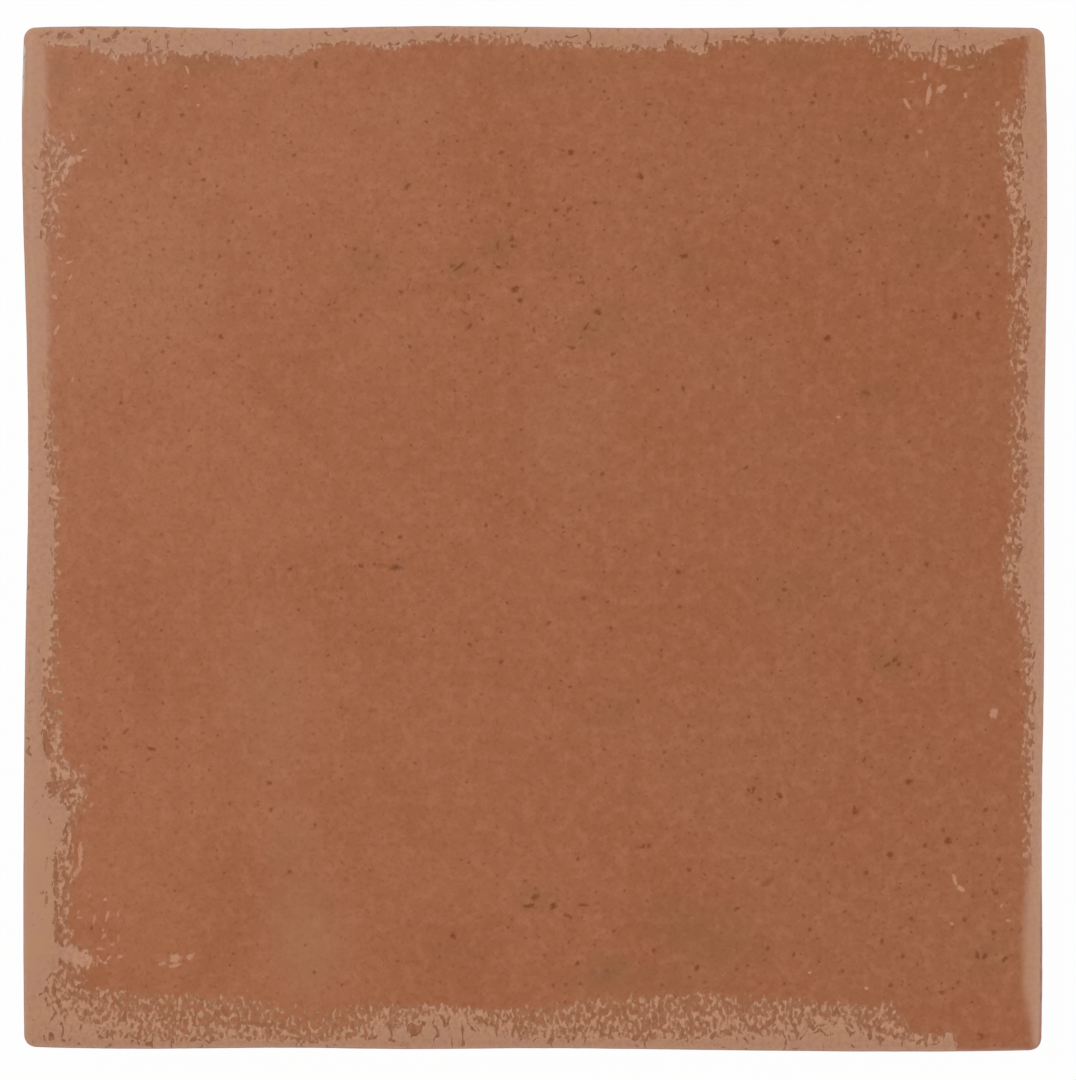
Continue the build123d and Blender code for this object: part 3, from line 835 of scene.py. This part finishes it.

    # Over it the pale glaze of the rim, with a painted highlight on its torn strokes, and the dark marks
    rimColour = add("Mix", colours, {
        0: addNoise(add, place, "rimDrift"), 1: glaze["rimPink"], 2: glaze["rimStraw"]})
    # painted highlight: where the rim is torn, its strokes take a lighter colour, as of lit crests
    inner = add("MapRange", smooth, {0: cover, 1: 0.4, 2: 0.9})
    outsideCrestHighlight = add("Math", minus, {0: 1.0, 1: ragged})
    outsideCrestHighlight = add("Math", {"operation": "MAXIMUM"}, {0: outsideCrestHighlight, 1: inner})
    rimColour = add("Mix", colours, {0: outsideCrestHighlight, 1: glaze["rimCrestHighlight"], 2: rimColour})
    mottled = add("MapRange", {}, {0: ragged, 3: 0.2, 4: 0.4})
    mottle = add("Math", times, {0: addNoise(add, place, "rimMottle"), 1: mottled})
    clean = add("Math", {**minus, "use_clamp": True}, {0: 1.0, 1: haze})
    mottle = add("Math", times, {0: mottle, 1: clean})
    rimColour = add("Mix", colours, {0: mottle, 1: rimColour, 2: glaze["rimShade"]})
    colour = add("Mix", colours, {0: rim, 1: colour, 2: rimColour})
    darkness = add("MapRange", {}, {0: cover, 2: 0.5, 3: 0.86, 4: 0.2})
    darkness = add("Math", times, {0: specks, 1: darkness})
    colour = add("Mix", colours, {0: darkness, 1: colour, 2: glaze["speck"]})

    # Below the outer arris the glaze runs thin, is rubbed off, and ends over the bare body
    facing = add("SeparateXYZ", {}, {0: coordinates.outputs["Normal"]})
    # the arris colour reaches further in where the arris is rubbed bare, and where its painted shade line is
    # wider
    turned = add("Math", {"operation": "ABSOLUTE"}, {0: bare})
    upright = add("Math", timesPlus, {0: turned, 1: -0.22, 2: facing.outputs["Z"]})
    arris = add("MapRange", smooth, {0: upright, 1: 0.4, 2: 0.6, 3: 1.0, 4: 0.0})
    sideDrift = addNoise(add, solidPlace, "sideDrift")
    # painted shade: the darker arris colour stands for shade on the steep outer arris, mixed with the thin
    # glaze of the sides
    arrisColour = add("Mix", colours, {0: sideDrift, 1: glaze["arrisShadeLine"], 2: glaze["sideThin"]})
    rubbed = add("Math", times, {0: addNoise(add, solidPlace, "rub"), 1: bare})
    arrisColour = add("Mix", colours, {0: rubbed, 1: arrisColour, 2: body["chalk"]})
    wander = add("TexNoise", {}, {"Vector": solidPlace, "Scale": 0.35, "Detail": 3})
    endLine = add("Math", timesPlus, {
        0: wander, 1: 2 * glaze["endWander"], 2: glaze["endHeight"] - glaze["endWander"]})
    overEnd = add("Math", minus, {0: axes.outputs["Z"], 1: endLine})
    glazed = add("MapRange", smooth, {0: overEnd, 1: -0.15, 2: 0.15})
    sideColour = add("Mix", colours, {0: glazed, 1: addBodyColour(add, solidPlace), 2: arrisColour})
    side = add("BsdfPrincipled", {}, {
        "Base Color": sideColour,
        "Roughness": add("Mix", numbers, {
            0: glazed, 1: body["roughness"], 2: glaze["wornRoughness"]}),
        "IOR": glaze["ior"],
        "Normal": add("Bump", {}, {
            "Strength": 0.3, "Distance": glaze["reliefHeight"], "Height": sideDrift}),
    })

    # The face's relief: uneven skin, raised rim and flecks, sunk specks
    skin = add("TexNoise", flat, {"Vector": place, "Scale": 0.9, "Roughness": 0.55})
    height = add("Math", timesPlus, {0: flecks, 1: 0.5, 2: skin})
    height = add("Math", timesPlus, {0: specks, 1: -0.5, 2: height})
    height = add("Math", timesPlus, {0: rim, 1: 0.5, 2: height})
    face = add("BsdfPrincipled", {}, {
        "Base Color": colour,
        "Roughness": add("MapRange", {}, {
            0: rim, 3: glaze["roughness"], 4: glaze["wornRoughness"]}),
        "IOR": glaze["ior"],
        "Normal": add("Bump", {}, {
            "Strength": 0.4, "Distance": glaze["reliefHeight"], "Height": height}),
    })
    shader = add("MixShader", {}, {0: arris, 1: face, 2: side})
    add("OutputMaterial", {}, {"Surface": shader})
    return material


def dressTile(piece):
    piece.data.materials.clear()
    piece.data.materials.append(makeGlazeMaterial())
    piece.data.materials.append(makeBodyMaterial())
    for face in piece.data.polygons:   # bare are the back, its pockets and its worn arris
        face.material_index = int(face.normal.z < -0.3 or face.center.z < tileShape["backArris"])
    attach(piece, "root")
    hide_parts("wall_tile")


# A pale table under soft light, with the camera square over the face as in the photograph
studio = {
    "floorSize": 3.0,                  # metres
    "floorDrop": 0.02 * millimetre,    # keeps it clear of the ribs
    "floorColour": "#F2F0EC",
    "floorWhite": 0.97,                # share of plain white that the camera sees in the floor
    "zenith": 0.32,                    # strength of the sky overhead, and at the horizon
    "horizon": 1.0,
}


def makeStudio():
    selectNothing()
    bpy.ops.mesh.primitive_plane_add(size=studio["floorSize"], location=(0, 0, -studio["floorDrop"]))
    floor = bpy.context.active_object
    floor.name = "tableTop"
    material, add = startMaterial("paleTable")
    path = add("LightPath", {}, {})
    seen = add("Math", {"operation": "MAXIMUM"}, {
        0: path.outputs["Is Camera Ray"], 1: path.outputs["Is Glossy Ray"]})
    seen = add("Math", {"operation": "MAXIMUM"}, {0: seen, 1: path.outputs["Is Transmission Ray"]})
    share = add("Math", times, {0: seen, 1: studio["floorWhite"]})
    matt = add("BsdfDiffuse", {}, {"Color": studio["floorColour"]})
    white = add("Emission", {}, {"Color": (1, 1, 1, 1), "Strength": 1.0})
    mixed = add("MixShader", {}, {0: share, 1: matt, 2: white})
    below = add("NewGeometry", {}, {}).outputs["Backfacing"]
    clear = add("BsdfTransparent", {}, {})
    mixed = add("MixShader", {}, {   # clear from below, to show the tile's back
        0: below, 1: mixed, 2: clear})
    add("OutputMaterial", {}, {"Surface": mixed})
    floor.data.materials.append(material)

    world = bpy.data.worlds.new("studioSky")
    bpy.context.scene.world = world
    world.use_nodes = True
    world.node_tree.nodes.clear()
    add = partial(addNode, world.node_tree)
    direction = add("TexCoord", {}, {})
    height = add("SeparateXYZ", {}, {0: direction.outputs["Generated"]})
    strength = add("MapRange", smooth, {
        0: height.outputs["Z"], 1: 0.1, 2: 0.8, 3: studio["horizon"], 4: studio["zenith"]})
    sky = add("Background", {}, {"Color": (1, 1, 1, 1), "Strength": strength})
    add("OutputWorld", {}, {"Surface": sky})


lamps = {
    "windowSide": {"place": (-0.45, 0.25, 0.63), "size": 0.5, "watts": 2.14},
    "roomSide": {"place": (0.52, -0.25, 0.50), "size": 0.6, "watts": 1.5},
    "farSide": {"place": (0.10, 0.65, 0.35), "size": 0.5, "watts": 0.4},
}


def makeLamps():
    for name, lamp in lamps.items():
        light = bpy.data.lights.new(name, "AREA")
        light.energy = lamp["watts"]
        light.size = lamp["size"]
        holder = bpy.data.objects.new(name, light)
        holder.location = lamp["place"]
        holder.rotation_euler = (-Vector(lamp["place"])).to_track_quat("-Z", "Y").to_euler()
        bpy.context.collection.objects.link(holder)


def makeCamera():
    middle = facePlace(photo["width"] / 2, photo["height"] / 2) * millimetre
    camera = bpy.data.cameras.new("overhead")
    camera.lens = photo["lens"]
    camera.sensor_width = photo["sensor"]
    camera.sensor_fit = "HORIZONTAL"
    camera.clip_start = 0.01
    holder = bpy.data.objects.new("overhead", camera)
    holder.location = (middle.x, middle.y, photo["widestLine"] + cameraDistance)
    bpy.context.collection.objects.link(holder)
    bpy.context.scene.camera = holder


tile = makeTile()
dressTile(tile)
print("glaze and body done")
makeStudio()
makeLamps()
makeCamera()
bpy.context.scene.view_settings.view_transform = "Standard"
print("studio, lamps and camera done")
